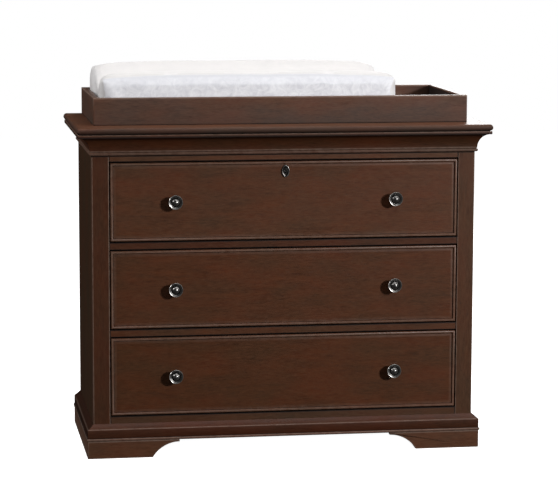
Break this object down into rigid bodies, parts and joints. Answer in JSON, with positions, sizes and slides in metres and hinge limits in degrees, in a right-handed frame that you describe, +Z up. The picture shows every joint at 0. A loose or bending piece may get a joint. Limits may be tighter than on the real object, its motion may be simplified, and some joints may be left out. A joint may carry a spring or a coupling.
{
  "type": "changing table",
  "caption": "Dark wood changing table: a drawer chest with cornice, bracket feet and turned knobs, a lift-off topper tray and a contoured padded changing pad.",
  "frame": {"origin": "on the floor, under the middle of the tabletop", "axes": "+X along the length, to the right of someone facing the drawers; +Y from the drawer fronts to the back; +Z up"},
  "size_m": [1.112, 0.508, 1.0323],
  "materials": {
    "espresso_wood": "dark espresso stain under a satin lacquer, slightly rubbed edges",
    "box_wood": "clear sealed light hardwood",
    "panel_wood": "thin sealed plywood panel",
    "pewter": "dark antique pewter, burnished on the high spots",
    "plush": "short-pile white plush cover"
  },
  "bodies": {
    "case": {"side_panel_left": "espresso_wood", "side_panel_right": "espresso_wood", "post_left": "espresso_wood", "post_right": "espresso_wood", "rail_top": "espresso_wood", "rail_upper": "espresso_wood", "rail_lower": "espresso_wood", "rail_bottom": "espresso_wood", "rear_rail_bottom": "espresso_wood", "rear_rail_top": "box_wood", "back_panel": "panel_wood", "case_bottom": "panel_wood", "tabletop": "espresso_wood", "cornice_front": "espresso_wood", "cornice_left": "espresso_wood", "cornice_right": "espresso_wood", "base_moulding_front": "espresso_wood", "base_moulding_left": "espresso_wood", "base_moulding_right": "espresso_wood", "bracket_foot_left": "espresso_wood", "bracket_foot_right": "espresso_wood", "side_foot_left": "espresso_wood", "side_foot_right": "espresso_wood", "runner_bottom": "box_wood", "runner_middle": "box_wood", "runner_top": "box_wood"},
    "drawer_bottom": {"drawer_bottom_front": "espresso_wood", "drawer_bottom_side_left": "box_wood", "drawer_bottom_side_right": "box_wood", "drawer_bottom_back": "box_wood", "drawer_bottom_bottom": "panel_wood", "drawer_bottom_guide": "box_wood", "drawer_bottom_knob_left": "pewter", "drawer_bottom_knob_right": "pewter"},
    "drawer_middle": {"drawer_middle_front": "espresso_wood", "drawer_middle_side_left": "box_wood", "drawer_middle_side_right": "box_wood", "drawer_middle_back": "box_wood", "drawer_middle_bottom": "panel_wood", "drawer_middle_guide": "box_wood", "drawer_middle_knob_left": "pewter", "drawer_middle_knob_right": "pewter"},
    "drawer_top": {"drawer_top_front": "espresso_wood", "drawer_top_side_left": "box_wood", "drawer_top_side_right": "box_wood", "drawer_top_back": "box_wood", "drawer_top_bottom": "panel_wood", "drawer_top_guide": "box_wood", "drawer_top_knob_left": "pewter", "drawer_top_knob_right": "pewter", "key_plate": "pewter"},
    "topper": {"topper_front": "espresso_wood", "topper_back": "espresso_wood", "topper_left": "espresso_wood", "topper_right": "espresso_wood", "topper_floor": "espresso_wood"},
    "pad": {"changing_pad": "plush"}
  },
  "joints": [
    {"name": "drawer_bottom_slide", "type": "slide", "parent": "case", "child": "drawer_bottom", "axis": [0, -1, 0], "range_m": [0, 0.3]},
    {"name": "drawer_middle_slide", "type": "slide", "parent": "case", "child": "drawer_middle", "axis": [0, -1, 0], "range_m": [0, 0.3]},
    {"name": "drawer_top_slide", "type": "slide", "parent": "case", "child": "drawer_top", "axis": [0, -1, 0], "range_m": [0, 0.3]},
    {"name": "topper_lift", "type": "slide", "parent": "case", "child": "topper", "axis": [0, 0, 1], "range_m": [0, 0.16]},
    {"name": "pad_lift", "type": "slide", "parent": "topper", "child": "pad", "axis": [0, 0, 1], "range_m": [0, 0.2]}
  ]
}
